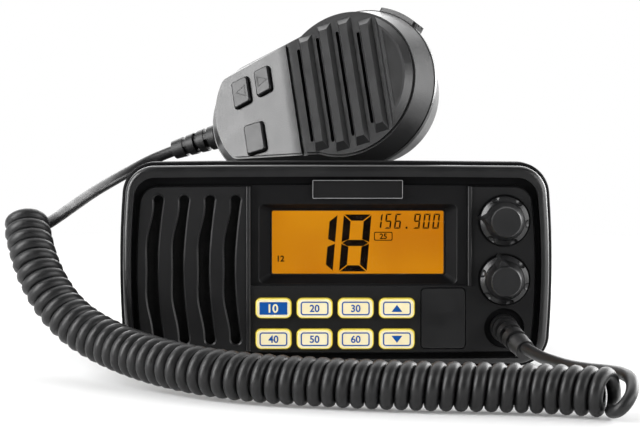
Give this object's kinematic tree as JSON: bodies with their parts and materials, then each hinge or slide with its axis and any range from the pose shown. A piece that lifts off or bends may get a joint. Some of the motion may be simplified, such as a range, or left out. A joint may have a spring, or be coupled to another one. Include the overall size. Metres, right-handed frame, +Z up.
{
  "type": "marine radio transceiver",
  "caption": "Fixed-mount marine VHF radio with lit display, keypad, two knobs and speaker slots, and a fist microphone on a curly cord lying on top.",
  "frame": {"origin": "middle of the footprint of radio and microphone without the cord, on the surface they stand on", "axes": "+X to the right seen from the front, +Y to the rear, +Z up"},
  "size_m": [0.2216, 0.2425, 0.1318],
  "materials": {
    "case_plastic": "satin moulded black plastic",
    "handset_plastic": "fine-grained dark grey plastic",
    "button_plastic": "smooth black plastic",
    "key_plastic": "backlit cream keytop",
    "lens": "clear window",
    "display": "amber lit display",
    "silicone": "soft silicone",
    "cord_rubber": "semi-matt cable jacket",
    "cast_alloy": "black powder coat on cast aluminium",
    "cover_metal": "black painted sheet",
    "board_green": "solder-masked board",
    "tin": "tinned sheet",
    "steel": "zinc-plated steel",
    "brass": "turned brass",
    "nickel": "nickel plate",
    "cone_black": "coated speaker cone and frame",
    "cloth": "black acoustic cloth",
    "component": "component body",
    "badge_metal": "black anodised plate"
  },
  "bodies": {
    "radio": {"front_case": "case_plastic", "case_seal": "silicone", "badge_plate": "badge_metal", "lcd_window": "lens", "lcd_glass": "display", "lcd_backlight": "display", "speaker": "cone_black", "speaker_cloth": "cloth", "keypad_web": "silicone", "key_switches": "component", "blank_cover": "button_plastic", "front_board": "board_green", "front_board_screws": "steel", "volume_control": "tin", "squelch_control": "tin", "cord_outlet_boot": "cord_rubber", "chassis": "cast_alloy", "top_cover": "cover_metal", "cover_screws": "steel", "case_screws": "steel", "side_inserts": "brass", "main_board": "board_green", "main_board_screws": "steel", "shield_can": "tin", "power_module": "component", "board_parts": "component", "ribbon_cable": "component", "antenna_connector": "nickel", "power_gland": "cord_rubber", "speaker_jack": "component", "cord_lead_mic": "cord_rubber", "cord_coil": "cord_rubber", "cord_lead_radio": "cord_rubber"},
    "microphone": {"mic_front_shell": "handset_plastic", "mic_back_shell": "handset_plastic", "mic_badge": "badge_metal", "mic_cloth": "cloth", "mic_capsule": "tin", "mic_board": "board_green", "mic_button_mat": "silicone", "mic_screws": "steel", "mic_cord_boot": "cord_rubber", "hanger_stud": "steel", "ptt_switch": "component"},
    "ptt_bar": {"ptt_button": "button_plastic"},
    "down_button": {"mic_down_button": "button_plastic"},
    "up_button": {"mic_up_button": "button_plastic"},
    "power_button": {"mic_power_button": "button_plastic"},
    "volume": {"volume_knob": "button_plastic", "volume_shaft": "steel"},
    "squelch": {"squelch_knob": "button_plastic", "squelch_shaft": "steel"},
    "key1": {"key_1": "key_plastic"},
    "key2": {"key_2": "key_plastic"},
    "key3": {"key_3": "key_plastic"},
    "key4": {"key_4": "key_plastic"},
    "key5": {"key_5": "key_plastic"},
    "key6": {"key_6": "key_plastic"},
    "key7": {"key_7": "key_plastic"},
    "key8": {"key_8": "key_plastic"}
  },
  "joints": [
    {"name": "mic_lift", "type": "slide", "parent": "radio", "child": "microphone", "axis": [0, 0, 1], "range_m": [0, 0.03]},
    {"name": "ptt_press", "type": "slide", "parent": "microphone", "child": "ptt_bar", "axis": [-0.4474, -0.1142, -0.887], "range_m": [0, 0.0018], "stiffness_N_per_m": 900, "springref_m": -0.001},
    {"name": "mic_down_press", "type": "slide", "parent": "microphone", "child": "down_button", "axis": [0.4152, 0.852, -0.3191], "range_m": [0, 0.0009], "stiffness_N_per_m": 800, "springref_m": -0.0005},
    {"name": "mic_up_press", "type": "slide", "parent": "microphone", "child": "up_button", "axis": [0.4152, 0.852, -0.3191], "range_m": [0, 0.0009], "stiffness_N_per_m": 800, "springref_m": -0.0005},
    {"name": "mic_power_press", "type": "slide", "parent": "microphone", "child": "power_button", "axis": [0.4152, 0.852, -0.3191], "range_m": [0, 0.0009], "stiffness_N_per_m": 800, "springref_m": -0.0005},
    {"name": "volume_turn", "type": "hinge", "parent": "radio", "child": "volume", "pos_m": [0.0621, -0.04976, 0.05541], "axis": [0, -0.9983, 0.0588], "range_deg": [-240, 60]},
    {"name": "squelch_turn", "type": "hinge", "parent": "radio", "child": "squelch", "pos_m": [0.0621, -0.05105, 0.03364], "axis": [0, -0.9983, 0.0588], "range_deg": [-170, 130]},
    {"name": "key_1_press", "type": "slide", "parent": "radio", "child": "key1", "axis": [0, 0.9983, -0.0588], "range_m": [0, 0.001], "stiffness_N_per_m": 800, "springref_m": -0.0005},
    {"name": "key_2_press", "type": "slide", "parent": "radio", "child": "key2", "axis": [0, 0.9983, -0.0588], "range_m": [0, 0.001], "stiffness_N_per_m": 800, "springref_m": -0.0005},
    {"name": "key_3_press", "type": "slide", "parent": "radio", "child": "key3", "axis": [0, 0.9983, -0.0588], "range_m": [0, 0.001], "stiffness_N_per_m": 800, "springref_m": -0.0005},
    {"name": "key_4_press", "type": "slide", "parent": "radio", "child": "key4", "axis": [0, 0.9983, -0.0588], "range_m": [0, 0.001], "stiffness_N_per_m": 800, "springref_m": -0.0005},
    {"name": "key_5_press", "type": "slide", "parent": "radio", "child": "key5", "axis": [0, 0.9983, -0.0588], "range_m": [0, 0.001], "stiffness_N_per_m": 800, "springref_m": -0.0005},
    {"name": "key_6_press", "type": "slide", "parent": "radio", "child": "key6", "axis": [0, 0.9983, -0.0588], "range_m": [0, 0.001], "stiffness_N_per_m": 800, "springref_m": -0.0005},
    {"name": "key_7_press", "type": "slide", "parent": "radio", "child": "key7", "axis": [0, 0.9983, -0.0588], "range_m": [0, 0.001], "stiffness_N_per_m": 800, "springref_m": -0.0005},
    {"name": "key_8_press", "type": "slide", "parent": "radio", "child": "key8", "axis": [0, 0.9983, -0.0588], "range_m": [0, 0.001], "stiffness_N_per_m": 800, "springref_m": -0.0005}
  ]
}
